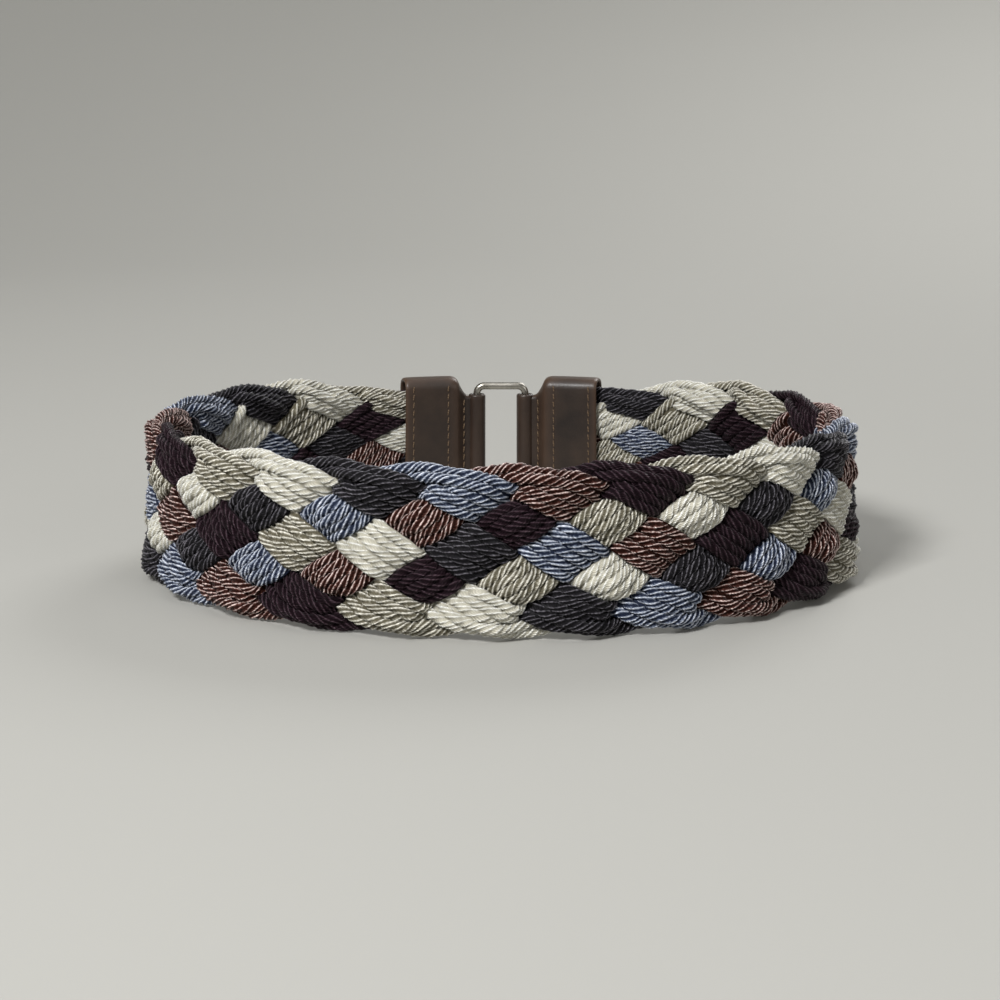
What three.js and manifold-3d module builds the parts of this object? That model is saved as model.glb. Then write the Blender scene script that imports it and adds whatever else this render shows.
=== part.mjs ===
// A flat rope belt: six soft rope strands plaited over one, under one, worn as a closed oval.
// Its two ends are pressed flat into leather tabs that hang on a plain metal loop at the back.
//
// Every piece is first laid out on the straightened belt and then wrapped round the waist oval:
//   along  the way round the waist, 0 at the middle of the front, growing to the wearer's left
//   up     the height above the belt's middle line
//   out    the depth, away from the body
// The oval stands on the plane z = 0 round the z axis, with its front towards -y. Millimetres.

import * as THREE from "three";
import { mergeVertices } from "three/addons/utils/BufferGeometryUtils.js";
import Module from "manifold-3d";

// The oval round the waist
const waistWidth = 241; // clear width inside the belt
const waistDepth = 185; // clear depth inside the belt
const skirtFlare = 4; // how much further out the lower edge stands than the upper one

// A strand, and the proportions of the plait, which follow its width
const strandWidth = 13.6;
const strandThickness = 4.4;
const strandGap = 1.9; // clear depth between two strands where their middles cross
const swingPerWidth = 1.83; // height of a strand's turn above the middle line
const periodPerWidth = 13.38; // length in which a strand goes down and comes back up
const turnRoundness = 0.9; // 1 would turn each strand at a sharp point
const firstTurnShare = 0.364; // place of the khaki strand's upper turn, as a share of a period

// The pressed ends
const endHeightShare = 0.78; // height left in the plait where it enters a tab
const endDepthShare = 0.74; // depth left there
const pressLength = 55; // stretch over which the plait is pressed

// The leather tabs
const pocketDepth = 21; // length of the plait's end that a tab takes in
const tabWall = 1.7;
const noseHeight = 36;
const fitGap = 0.35; // clearance between pieces that touch

// The metal loop
const wireDiameter = 3;
const loopWidth = 20; // between the middles of its two uprights
const loopCorner = 3; // bend radius of the wire's middle line

// In the order in which their upper turns follow each other round the waist
const strands = [
  { name: "strand_khaki", colour: "#a39a84" },
  { name: "strand_ivory", colour: "#d3cfc0" },
  { name: "strand_charcoal", colour: "#37333a" },
  { name: "strand_blue", colour: "#76809b" },
  { name: "strand_rosewood", colour: "#8a6a60" },
  { name: "strand_plum", colour: "#3b232c" },
];

// A strand meets each of the others twice in a period, which makes twelve even steps with its
// two turns. It lies level in front or behind for a stretch on both sides of each crossing,
// given in steps, and folds over from front to back at its turns, 6 and 12.
const stepsPerPeriod = 2 * strands.length;
const crossings = [
  { step: 1, front: true, levelBefore: 0.44, levelAfter: 0.24 },
  { step: 2, front: false, levelBefore: 0.24, levelAfter: 0.24 },
  { step: 3, front: true, levelBefore: 0.24, levelAfter: 0.24 },
  { step: 4, front: false, levelBefore: 0.24, levelAfter: 0.24 },
  { step: 5, front: true, levelBefore: 0.24, levelAfter: 0.44 },
  { step: 7, front: false, levelBefore: 0.44, levelAfter: 0.24 },
  { step: 8, front: true, levelBefore: 0.24, levelAfter: 0.24 },
  { step: 9, front: false, levelBefore: 0.24, levelAfter: 0.24 },
  { step: 10, front: true, levelBefore: 0.24, levelAfter: 0.24 },
  { step: 11, front: false, levelBefore: 0.24, levelAfter: 0.44 },
];
const turnFlat = 0.15; // half the straight stretch at a turn, in steps
const turnWidthShare = 0.75; // a strand draws in as it folds over
const drawnInUntil = 0.3; // steps from a turn within which it stays that narrow
const fullWidthFrom = 1.2; // steps from a turn where it has its whole width again

// The flattened eight-sided section of a strand, as shares of half its width and thickness
const sectionCorners = [
  { across: 1, through: -0.28 },
  { across: 1, through: 0.28 },
  { across: 0.42, through: 1 },
  { across: -0.42, through: 1 },
  { across: -1, through: 0.28 },
  { across: -1, through: -0.28 },
  { across: -0.42, through: -1 },
  { across: 0.42, through: -1 },
];

const plaitSwing = strandWidth * swingPerWidth;
const plaitPeriod = strandWidth * periodPerWidth;
const weaveDepth = (strandThickness + strandGap) / 2;
const halfPlait = plaitSwing + (strandWidth * turnWidthShare) / 2;
const outerReach = weaveDepth + strandThickness / 2;
const halfWidth = waistWidth / 2 + outerReach; // of the plait's middle line
const halfDepth = waistDepth / 2 + outerReach;

function clamp(value) {
  return Math.min(1, Math.max(0, value));
}

// Arc length round the oval, as a table of lengths at even steps of angle
const ovalSteps = 1440;
const ovalStep = (2 * Math.PI) / ovalSteps;
const ovalLengths = [0];
for (let i = 0; i < ovalSteps; i += 1) {
  const angle = (i + 0.5) * ovalStep;
  const speed = Math.hypot(halfWidth * Math.cos(angle), halfDepth * Math.sin(angle));
  ovalLengths.push(ovalLengths[i] + speed * ovalStep);
}
const girth = ovalLengths[ovalSteps];

function ovalAngle(along) {
  const place = ((along % girth) + girth) % girth;
  let low = 0;
  let high = ovalSteps;
  while (high - low > 1) {
    const middle = Math.floor((low + high) / 2);
    if (ovalLengths[middle] <= place) low = middle;
    else high = middle;
  }
  const share = (place - ovalLengths[low]) / (ovalLengths[high] - ovalLengths[low]);
  return (low + share) * ovalStep;
}

// From the straightened belt to the oval; its lower edge stands further out than its upper one
function wrap(along, up, out) {
  const angle = ovalAngle(along);
  const side = halfDepth * Math.sin(angle);
  const front = -halfWidth * Math.cos(angle);
  const size = Math.hypot(side, front);
  const depth = out - (skirtFlare * up) / (2 * halfPlait);
  return new THREE.Vector3(
    halfWidth * Math.sin(angle) + (depth * side) / size,
    -halfDepth * Math.cos(angle) + (depth * front) / size,
    seatHeight + up,
  );
}

// A strand's height and slope, at steps counted from its upper turn
function swing(step) {
  const turn = (2 * Math.PI * step) / stepsPerPeriod;
  const scale = plaitSwing / Math.asin(turnRoundness);
  const steepness = Math.sqrt(1 - (turnRoundness * Math.cos(turn)) ** 2);
  return {
    up: scale * Math.asin(turnRoundness * Math.cos(turn)),
    slope: (-scale * turnRoundness * Math.sin(turn) * 2 * Math.PI) / (steepness * plaitPeriod),
  };
}

// A strand's depth: level at each crossing and eased between them
function weave(step) {
  const place = ((step % stepsPerPeriod) + stepsPerPeriod) % stepsPerPeriod;
  const passed = crossings.filter((crossing) => crossing.step <= place).length;
  const before = crossings[(passed + crossings.length - 1) % crossings.length];
  const after = crossings[passed % crossings.length];
  const start = before.step + before.levelAfter - (passed === 0 ? stepsPerPeriod : 0);
  const end = after.step - after.levelBefore + (passed === crossings.length ? stepsPerPeriod : 0);
  const eased = Math.cos(Math.PI * clamp((place - start) / (end - start)));
  return (before.front ? 1 : -1) * weaveDepth * eased;
}

// Steps from the nearest turn, less than zero before it; and 1 at an upper turn, -1 at a lower
function nearestTurn(step) {
  const halfPeriod = stepsPerPeriod / 2;
  const count = Math.round(step / halfPeriod);
  return { away: step - count * halfPeriod, sign: count % 2 === 0 ? 1 : -1 };
}

// How far a section leans along its strand. At a crossing it lies along the other strand,
// and it swings over evenly from one side to the other through a turn.
function lean(step) {
  const { away, sign } = nearestTurn(step);
  const turnSpan = 1 - crossings[0].levelBefore;
  const slope = Math.abs(swing(Math.max(Math.abs(away), turnSpan)).slope);
  const share = Math.sign(away) * clamp(Math.abs(away) / turnSpan);
  return (sign * share * (1 - slope * slope)) / (2 * slope);
}

function widthAt(step) {
  const away = Math.abs(nearestTurn(step).away);
  const share = clamp((away - drawnInUntil) / (fullWidthFrom - drawnInUntil));
  return strandWidth * (turnWidthShare + (1 - turnWidthShare) * share);
}

// The corners of a strand's section on the straightened belt
function sectionAt(along, step) {
  const { up, slope } = swing(step);
  const size = Math.hypot(1, slope);
  const leaning = lean(step);
  const out = weave(step);
  return sectionCorners.map((corner) => {
    const across = (corner.across * widthAt(step)) / 2;
    return {
      along: along + (across * (leaning - slope)) / size,
      up: up + (across * (1 + leaning * slope)) / size,
      out: out + (corner.through * strandThickness) / 2,
    };
  });
}

// Height of the middle line, so that the flat undersides of the lower turns stand on z = 0
const lowerTurn = sectionAt(0, stepsPerPeriod / 2 - turnFlat);
const seatHeight = -Math.min(...lowerTurn.map(({ up }) => up));

// The tabs and the plait's ends, measured from the middle of the back
const wireRadius = wireDiameter / 2;
const noseHalfThickness = wireRadius + fitGap + tabWall;
const noseTip = loopWidth / 2 - noseHalfThickness;
const noseRoot = loopWidth / 2 + noseHalfThickness;
const pocketFloor = noseRoot + wireDiameter + 2 * tabWall;
const tabMouth = pocketFloor + pocketDepth;
const plaitEnd = pocketFloor + fitGap;
const pocketHalfHeight = halfPlait * endHeightShare + fitGap;
const pocketHalfThickness = outerReach * endDepthShare + fitGap;

// The plait is pressed lower and thinner where it nears a tab
function press({ along, up, out }) {
  const share = clamp((girth / 2 - tabMouth - Math.abs(along)) / pressLength);
  const eased = share * share * (3 - 2 * share);
  const heightShare = endHeightShare + (1 - endHeightShare) * eased;
  const depthShare = endDepthShare + (1 - endDepthShare) * eased;
  return wrap(along, up * heightShare, out * depthShare);
}

// A closed skin over rings of points; the last ring joins the first if looped
function skin(rings, looped = false) {
  const size = rings[0].length;
  const faces = [];
  const last = looped ? rings.length : rings.length - 1;
  for (let i = 0; i < last; i += 1) {
    const here = i * size;
    const next = ((i + 1) % rings.length) * size;
    for (let k = 0; k < size; k += 1) {
      const turn = (k + 1) % size;
      faces.push(here + k, here + turn, next + turn);
      faces.push(here + k, next + turn, next + k);
    }
  }
  if (!looped) {
    const top = (rings.length - 1) * size;
    for (let k = 1; k < size - 1; k += 1) {
      faces.push(0, k + 1, k);
      faces.push(top, top + k, top + k + 1);
    }
  }
  const positions = rings.flat().flatMap((point) => point.toArray());
  const geometry = new THREE.BufferGeometry();
  geometry.setAttribute("position", new THREE.Float32BufferAttribute(positions, 3));
  geometry.setIndex(faces);
  return geometry;
}

const wasm = await Module();
wasm.setup();

function toSolid(geometry) {
  const merged = mergeVertices(geometry, 1e-4);
  const mesh = new wasm.Mesh({
    numProp: 3,
    vertProperties: new Float32Array(merged.attributes.position.array),
    triVerts: new Uint32Array(merged.index.array),
  });
  return new wasm.Manifold(mesh);
}

function toGeometry(solid) {
  const mesh = solid.getMesh();
  const geometry = new THREE.BufferGeometry();
  geometry.setAttribute("position", new THREE.BufferAttribute(new Float32Array(mesh.vertProperties), 3));
  geometry.setIndex(new THREE.BufferAttribute(new Uint32Array(mesh.triVerts), 1));
  return geometry;
}

// A rounded rectangle across the belt
const cornerPoints = 3;
const quadrants = [
  { first: 1, second: 1 },
  { first: -1, second: 1 },
  { first: -1, second: -1 },
  { first: 1, second: -1 },
];
function roundedSection(halfHeight, halfThickness, radius) {
  return quadrants.flatMap(({ first, second }, corner) =>
    Array.from({ length: cornerPoints }, (_, i) => {
      const angle = ((corner + i / (cornerPoints - 1)) * Math.PI) / 2;
      return {
        up: first * (halfHeight - radius) + radius * Math.cos(angle),
        out: second * (halfThickness - radius) + radius * Math.sin(angle),
      };
    }),
  );
}

// A solid lofted along the belt, through sections whose distances from the middle of the back
// grow from row to row; side is 1 on the wearer's left of the back and -1 on the right
function loft(rows, radiusShare, side) {
  const rings = rows.map(({ distance, halfHeight, halfThickness }) => {
    const section = roundedSection(halfHeight, halfThickness, halfThickness * radiusShare);
    return section.map(({ up, out }) => wrap(side * (girth / 2 - distance), up, out));
  });
  return toSolid(skin(side < 0 ? rings : rings.reverse()));
}

// What is cut away from the strands behind their ends
const offcutReach = 2 * strandWidth;
const offcut = loft(
  [-1, 0, 1].map((place) => ({
    distance: place * plaitEnd,
    halfHeight: halfPlait + offcutReach,
    halfThickness: outerReach + offcutReach,
  })),
  0.1,
  1,
);

// The places on one period where a strand gets a section, in steps
const stations = crossings.flatMap((crossing) => [
  crossing.step - crossing.levelBefore,
  crossing.step + crossing.levelAfter,
]);
[stepsPerPeriod / 2, stepsPerPeriod].forEach((turn) => stations.push(turn - turnFlat, turn + turnFlat));

function strandGeometry(turnPlace) {
  const reach = girth / 2 - plaitEnd + strandWidth / 2; // past the ends, which are cut square
  const stepAt = (along) => ((along - turnPlace) * stepsPerPeriod) / plaitPeriod;
  const places = [];
  const firstPeriod = Math.floor((-reach - turnPlace) / plaitPeriod) - 1;
  const lastPeriod = Math.ceil((reach - turnPlace) / plaitPeriod);
  for (let period = firstPeriod; period <= lastPeriod; period += 1) {
    stations.forEach((station) => places.push(turnPlace + (period + station / stepsPerPeriod) * plaitPeriod));
  }
  const kept = places.filter((along) => Math.abs(along) < reach).sort((a, b) => a - b);
  const rings = kept.map((along) => sectionAt(along, stepAt(along)).map(press));
  return toGeometry(toSolid(skin(rings)).subtract(offcut));
}

// A leather tab: a pocket for the plait's end that narrows to a nose folded round the wire.
// Places run from the nose's tip to its root and from the body's shoulder to its mouth.
const noseRows = [
  { place: 0, height: 0.94, thickness: 0.45 },
  { place: 0.14, height: 1, thickness: 0.8 },
  { place: 0.5, height: 1, thickness: 1 },
  { place: 1, height: 1, thickness: 1 },
];
const bodyRows = [
  { place: 0, height: 1, thickness: 1 },
  { place: 0.5, height: 1, thickness: 1 },
  { place: 0.91, height: 1, thickness: 1 },
  { place: 1, height: 0.985, thickness: 0.94 },
];
const pocketRows = [{ place: 0 }, { place: 0.5 }, { place: 1.05 }];
const tabRadiusShare = 0.7;
const pocketRadiusShare = 0.55;

function tabGeometry(side) {
  const shoulder = pocketFloor - tabWall;
  const outerRows = [
    ...noseRows.map(({ place, height, thickness }) => ({
      distance: noseTip + (noseRoot - noseTip) * place,
      halfHeight: (noseHeight / 2) * height,
      halfThickness: noseHalfThickness * thickness,
    })),
    ...bodyRows.map(({ place, height, thickness }) => ({
      distance: shoulder + (tabMouth - shoulder) * place,
      halfHeight: (pocketHalfHeight + tabWall) * height,
      halfThickness: (pocketHalfThickness + tabWall) * thickness,
    })),
  ];
  const innerRows = pocketRows.map(({ place }) => ({
    distance: pocketFloor + pocketDepth * place,
    halfHeight: pocketHalfHeight,
    halfThickness: pocketHalfThickness,
  }));
  const tunnelRadius = wireRadius + fitGap;
  const tunnelSides = 12;
  const tunnelRings = [noseHeight, -noseHeight].map((up) =>
    Array.from({ length: tunnelSides }, (_, i) => {
      const angle = (2 * Math.PI * i) / tunnelSides;
      const along = side * (girth / 2 - loopWidth / 2) + tunnelRadius * Math.cos(angle);
      return wrap(along, up, tunnelRadius * Math.sin(angle));
    }),
  );
  const body = loft(outerRows, tabRadiusShare, side);
  const pocket = loft(innerRows, pocketRadiusShare, side);
  return toGeometry(body.subtract(pocket).subtract(toSolid(skin(tunnelRings))));
}

// The plain metal loop: round wire bent to a rectangle with rounded corners
function loopGeometry() {
  const wireSides = 10;
  const cornerSteps = 4;
  const bendAlong = loopWidth / 2 - loopCorner;
  const bendUp = noseHeight / 2 + fitGap;
  const route = quadrants.flatMap(({ first, second }, corner) =>
    Array.from({ length: cornerSteps + 1 }, (_, i) => {
      const angle = ((corner + i / cornerSteps) * Math.PI) / 2;
      return { along: first * bendAlong, up: second * bendUp, angle };
    }),
  );
  const rings = route.map(({ along, up, angle }) =>
    Array.from({ length: wireSides }, (_, i) => {
      const turn = (-2 * Math.PI * i) / wireSides;
      const reach = loopCorner + wireRadius * Math.cos(turn);
      return wrap(
        girth / 2 + along + reach * Math.cos(angle),
        up + reach * Math.sin(angle),
        wireRadius * Math.sin(turn),
      );
    }),
  );
  return skin(rings, true);
}

function piece(name, geometry, { colour, roughness, metalness }) {
  const material = new THREE.MeshStandardMaterial({ color: colour, roughness, metalness, flatShading: true });
  const mesh = new THREE.Mesh(geometry, material);
  mesh.name = name;
  return mesh;
}

const plait = new THREE.Group();
strands.forEach(({ name, colour }, order) => {
  const turnPlace = (firstTurnShare + order / strands.length) * plaitPeriod;
  plait.add(piece(name, strandGeometry(turnPlace), { colour, roughness: 0.45, metalness: 0 }));
});

const leather = { colour: "#2a2320", roughness: 0.6, metalness: 0 };
const metal = { colour: "#9a978f", roughness: 0.35, metalness: 1 };
const closure = new THREE.Group();
closure.add(piece("end_tab_left", tabGeometry(1), leather));
closure.add(piece("end_tab_right", tabGeometry(-1), leather));
closure.add(piece("back_loop", loopGeometry(), metal));

const belt = new THREE.Group();
belt.add(plait, closure);

export default belt;
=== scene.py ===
# Rope belt: the six strands of the plait, each a bundle of twisted satin cords round a flat tape
# that shuts the corners between them in painted shade, with the leather tabs and the wire loop
# that close it at the back. The belt stands where the imported frame has it.
import math

import bpy
import numpy as np
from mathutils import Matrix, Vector


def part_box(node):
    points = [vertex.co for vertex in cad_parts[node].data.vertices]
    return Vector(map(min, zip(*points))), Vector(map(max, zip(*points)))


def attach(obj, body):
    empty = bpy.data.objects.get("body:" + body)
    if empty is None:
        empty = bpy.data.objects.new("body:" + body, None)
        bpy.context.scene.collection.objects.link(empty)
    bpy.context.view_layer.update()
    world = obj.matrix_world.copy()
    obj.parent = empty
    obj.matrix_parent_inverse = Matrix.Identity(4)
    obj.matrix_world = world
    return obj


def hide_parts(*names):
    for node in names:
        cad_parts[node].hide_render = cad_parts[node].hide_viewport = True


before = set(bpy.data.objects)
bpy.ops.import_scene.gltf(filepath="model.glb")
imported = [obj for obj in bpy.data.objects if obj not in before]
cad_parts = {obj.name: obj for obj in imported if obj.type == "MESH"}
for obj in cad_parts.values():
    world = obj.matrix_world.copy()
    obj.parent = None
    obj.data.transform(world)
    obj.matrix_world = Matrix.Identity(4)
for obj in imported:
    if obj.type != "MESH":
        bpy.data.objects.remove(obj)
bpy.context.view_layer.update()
mm = 0.001
ivoryLow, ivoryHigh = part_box("strand_ivory")
seatHeight = 0.5 * (ivoryLow[2] + ivoryHigh[2])  # height of the plait's middle line
print("frame loaded")

view = {
    "elevation": 12.5,  # degrees above the horizon
    "distance": 0.815,  # metres from the middle of the belt
    "lens": 79,
    "sensorWidth": 36,
    "imageSize": 1000,
    "beltAt": (501, 487),  # pixel that the middle of the belt falls on
}


def addCamera():
    # stands straight in front, a little above, and looks at the middle of the belt
    tilt = math.radians(view["elevation"])
    middle = Vector((0, 0, seatHeight))
    place = middle + view["distance"] * Vector((0, -math.cos(tilt), math.sin(tilt)))
    lens = bpy.data.cameras.new("photoView")
    lens.lens = view["lens"]
    lens.sensor_width = view["sensorWidth"]
    half = view["imageSize"] / 2
    lens.shift_x = -(view["beltAt"][0] - half) / view["imageSize"]
    lens.shift_y = (view["beltAt"][1] - half) / view["imageSize"]
    lens.clip_start = 0.01
    camera = bpy.data.objects.new("photoView", lens)
    bpy.context.collection.objects.link(camera)
    camera.location = place
    camera.rotation_euler = (middle - place).to_track_quat("-Z", "Y").to_euler()
    bpy.context.scene.camera = camera


addCamera()
print("camera placed")

# Sizes of the plait in millimetres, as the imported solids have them
plait = {
    "waistWidth": 241.0,
    "waistDepth": 185.0,
    "outerReach": 5.35,  # from the middle line to the outer face of the solids
    "skirtFlare": 4.0,  # how much further out the lower edge stands than the upper one
    "halfHeight": 29.99,
    "swing": 24.888,  # height of a strand's turn above the middle line
    "period": 181.97,
    "turnRoundness": 0.9,
    "firstTurn": 66.24,  # place of the khaki strand's upper turn
    "strands": 6,
}
stepCount = 2 * plait["strands"]
halfWidth = plait["waistWidth"] / 2 + plait["outerReach"]
halfDepth = plait["waistDepth"] / 2 + plait["outerReach"]

# Arc length round the oval, as a table over eighths of a degree
ovalAngles = np.linspace(0, 2 * np.pi, 8 * 360 + 1)
ovalMiddles = 0.5 * (ovalAngles[1:] + ovalAngles[:-1])
ovalSpeeds = np.hypot(halfWidth * np.cos(ovalMiddles), halfDepth * np.sin(ovalMiddles))
ovalLengths = np.concatenate([[0], np.cumsum(ovalSpeeds * np.diff(ovalAngles))])
girth = ovalLengths[-1]


def wrapToOval(along, up, out):
    # x = a sin t, y = -b cos t at the angle t that lies that length round the oval, pushed out
    # square to the oval by the depth less the share of the flare; returns places and outward ways
    angle = np.interp(np.mod(along, girth), ovalLengths, ovalAngles)
    way = np.stack([halfDepth * np.sin(angle), -halfWidth * np.cos(angle), 0 * angle], axis=-1)
    way /= np.linalg.norm(way, axis=-1, keepdims=True)
    depth = out - plait["skirtFlare"] * up / (2 * plait["halfHeight"])
    place = np.stack([halfWidth * np.sin(angle), -halfDepth * np.cos(angle), up], axis=-1)
    place = mm * (place + depth[..., None] * way)
    place[..., 2] += seatHeight
    return place, way


def swingAt(step):
    # height A asin(r cos t) / asin r, with t a twelfth of a turn for each step, and its slope
    turn = 2 * np.pi * step / stepCount
    scale = plait["swing"] / math.asin(plait["turnRoundness"])
    inner = plait["turnRoundness"] * np.cos(turn)
    slope = -scale * plait["turnRoundness"] * np.sin(turn) * 2 * np.pi / plait["period"]
    return scale * np.arcsin(inner), slope / np.sqrt(1 - inner**2)


# Crossings of a strand, in steps from its upper turn: in front at the first, behind at the next
crossingSteps = np.array([1, 2, 3, 4, 5, 7, 8, 9, 10, 11])
weave = {
    "level": 0.2,  # steps for which a strand stays level on both sides of a crossing
    "turnLevel": 0.42,  # the same on the side of a turn
    "depth": 2.3,  # millimetres in front of or behind the middle line
}


def weaveAt(step):
    # depth cos(pi h), where h counts the crossings passed and grows only between level stretches
    half = stepCount // 2
    before = np.where(crossingSteps % half == 1, weave["turnLevel"], weave["level"])
    after = np.where(crossingSteps % half == half - 1, weave["turnLevel"], weave["level"])
    knots = np.stack([crossingSteps - before, crossingSteps + after], axis=1).ravel()
    counts = np.repeat(np.arange(len(crossingSteps)), 2)
    knots = np.concatenate([knots, knots + stepCount])
    counts = np.concatenate([counts, counts + len(crossingSteps)])
    first = crossingSteps[0] - weave["turnLevel"]
    place = first + np.mod(step - first, stepCount)
    return weave["depth"] * np.cos(np.pi * np.interp(place, knots, counts))


# The cords of a strand, in millimetres
cords = {
    "perStrand": 5,
    "diameter": 3.9,
    "downSpacing": 4.2,  # where the strand goes down to the viewer's right
    "upSpacing": 3.0,  # where it comes back up, drawn together
    "turnSpacing": 1.9,  # where a strand bends round at its turn
    "downDome": 2.8,  # how far the middle cords stand out past the outer ones
    "upDome": 3.2,
    "turnStagger": 0.8,  # how far every other cord steps in or out at a turn
    "turnTilt": 1.1,  # how far the innermost cord goes back there, and the outermost comes forward
    "turnDrop": 1.8,  # how far a turn is drawn in from the edge
    "turnHold": 0.2,  # steps on both sides of a turn for which its values hold in full
    "leanHold": 0.56,  # steps from a turn at which the cords lean as they do between turns
    "changeOver": 1.2,  # how quickly the spacing changes over at a turn
    "lay": 12.4,  # length in which the twist goes round once
    "plies": 5,
    "stepAlong": 1.18,
}

# How far a cord strays from an even twist and its settled route, with the wave lengths that it
# strays in, in millimetres and radians
stray = {
    "place": 0.22,
    "upWaves": (17, 29, 47),
    "outWaves": (13, 31, 53),
    "twist": 0.75,
    "twistWaves": (11, 23, 43, 71),
    "rib": 0.09,  # how much higher or lower a rib stands, as a share of the radius
    "ribWave": 23,
    "ply": 0.17,  # how far a ply strays sideways between its neighbours
    "plyWave": 13,
    # varies the painted highlight and painted shade from one rib to the next
    "shadeAndHighlight": 0.12,  # how much paler or darker a rib is
    "cordPhase": 2.4,  # what sets the straying of one cord or ply apart from the next one's
    "strandPhase": 1.7,
}

# Outline of one ply round the cord: degrees from the ply's middle, share of the radius, and how
# much it stands clear of the grooves (0 in the groove between two plies, 1 on its rib)
# the last column also places the painted shade in the grooves and the painted highlight on the ribs
plyOutline = np.array([
    [-36, 0.7, 0.0],
    [-16, 0.88, 0.4],
    [0, 1.0, 1.0],
    [16, 0.88, 0.4],
])


# How the cords settle against each other: points in a period, passes, and the shares of what
# each pass does
settling = {
    "samples": 108,
    "passes": 60,
    "stiffness": 0.35,
    "hold": 0.03,
    "pressed": 0.92,  # share of the diameter within which cords of two strands push each other
    "pressedBundle": 0.86,  # the same inside a strand
    "push": 0.5,
}


def turnShare(step):
    # 1 at a turn, easing to 0 at one step from it
    half = stepCount / 2
    away = np.abs(step - half * np.round(step / half))
    share = np.clip((away - cords["turnHold"]) / (1 - cords["turnHold"]), 0, 1)
    return 0.5 + 0.5 * np.cos(np.pi * share)


def downShare(step):
    # 1 where the strand goes down, 0 where it comes up, changing over at the turns
    return np.clip(0.5 + cords["changeOver"] * np.sin(2 * np.pi * step / stepCount), 0, 1)


def leanAt(step):
    # a row across the strand lies along the other strand at a crossing, so it leans by
    # (1 - m^2) / 2m along its own way, m being the slope, and swings over evenly at a turn
    half = stepCount / 2
    count = np.round(step / half)
    away = step - half * count
    hold = cords["leanHold"]
    slope = np.abs(swingAt(np.maximum(np.abs(away), hold))[1])
    share = np.sign(away) * np.clip(np.abs(away) / hold, 0, 1)
    return np.where(count % 2 == 0, 1, -1) * share * (1 - slope**2) / (2 * slope)


def firstRoutes():
    # the cords of one strand over one period, before they settle: evenly spaced across it,
    # domed towards the face where it lies on top, and stepped in and out at its turns
    samples = settling["samples"]
    step = np.arange(samples) * stepCount / samples
    up, slope = swingAt(step)
    size = np.hypot(1, slope)
    edge = np.sign(np.cos(2 * np.pi * step / stepCount))  # above or below the middle line
    lean = leanAt(step)
    depth = weaveAt(step)
    turning = turnShare(step)
    down = downShare(step)
    rank = np.arange(cords["perStrand"]) - (cords["perStrand"] - 1) / 2
    spacing = cords["upSpacing"] + (cords["downSpacing"] - cords["upSpacing"]) * down
    across = rank[:, None] * (spacing + (cords["turnSpacing"] - spacing) * turning)
    dome = cords["upDome"] + (cords["downDome"] - cords["upDome"]) * down
    crown = 1 - (2 * rank / (cords["perStrand"] - 1)) ** 2
    stagger = np.where(np.arange(cords["perStrand"]) % 2 == 0, -1, 1) * cords["turnStagger"]
    routes = np.empty((cords["perStrand"], samples, 3))
    routes[..., 0] = step * plait["period"] / stepCount + across * (lean - slope) / size
    routes[..., 1] = up - edge * cords["turnDrop"] * turning + across * (1 + lean * slope) / size
    routes[..., 2] = depth + crown[:, None] * dome * depth / weave["depth"]
    routes[..., 2] += stagger[:, None] * turning
    routes[..., 2] += cords["turnTilt"] * edge * turning * rank[:, None] / rank.max()
    return routes


def settle(routes):
    # the cords of all six strands are shifted copies of one strand's, so only these move: each
    # pass smooths a cord, draws it back a little towards its first route and pushes it off the
    # nearest place of every other cord that is closer than a pressed cord's diameter
    start = routes.copy()
    period = plait["period"]
    shift = period / plait["strands"]
    own = np.arange(len(routes))
    for _ in range(settling["passes"]):
        before = np.roll(routes, 1, axis=1)
        before[:, 0, 0] -= period
        after = np.roll(routes, -1, axis=1)
        after[:, -1, 0] += period
        routes = routes + settling["stiffness"] * (0.5 * (before + after) - routes)
        routes += settling["hold"] * (start - routes)
        moved = np.zeros_like(routes)
        for copy in range(plait["strands"]):
            gap = routes[:, :, None, None, :] - routes[None, None, :, :, :]
            gap[..., 0] -= copy * shift
            gap[..., 0] -= period * np.round(gap[..., 0] / period)
            squared = np.einsum("abcdk,abcdk->abcd", gap, gap)
            nearest = squared.argmin(axis=3)
            distance = np.sqrt(np.take_along_axis(squared, nearest[..., None], axis=3))[..., 0]
            if copy == 0:
                distance[own, :, own] = np.inf
            way = np.take_along_axis(gap, nearest[..., None, None], axis=3)[..., 0, :]
            closest = cords["diameter"] * settling["pressedBundle" if copy == 0 else "pressed"]
            amount = settling["push"] * np.clip(closest - distance, 0, None)
            safe = np.where(np.isfinite(distance) & (distance > 0), distance, 1)
            moved += (way * (amount / safe)[..., None]).sum(axis=2)
        routes += moved
    return routes


settled = settle(firstRoutes())
print("cords settled")

# Where the plait is pressed flat towards the tabs, in millimetres from the middle of the back,
# and the shares of height, depth and cord radius that are left there
ends = {
    "pressedFrom": 97.0,
    "pressedTo": 42.0,
    "heightShare": 0.73,
    "depthShare": 0.55,
    "radiusShare": 0.9,
    "cordEnd": 22.5,
}


def resample(line, spacing):
    # points at even steps of length along a line
    lengths = np.concatenate([[0], np.cumsum(np.linalg.norm(np.diff(line, axis=0), axis=1))])
    count = max(2, int(round(lengths[-1] / spacing)) + 1)
    even = np.linspace(0, lengths[-1], count)
    return np.stack([np.interp(even, lengths, line[:, k]) for k in range(3)], axis=1), even


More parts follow.
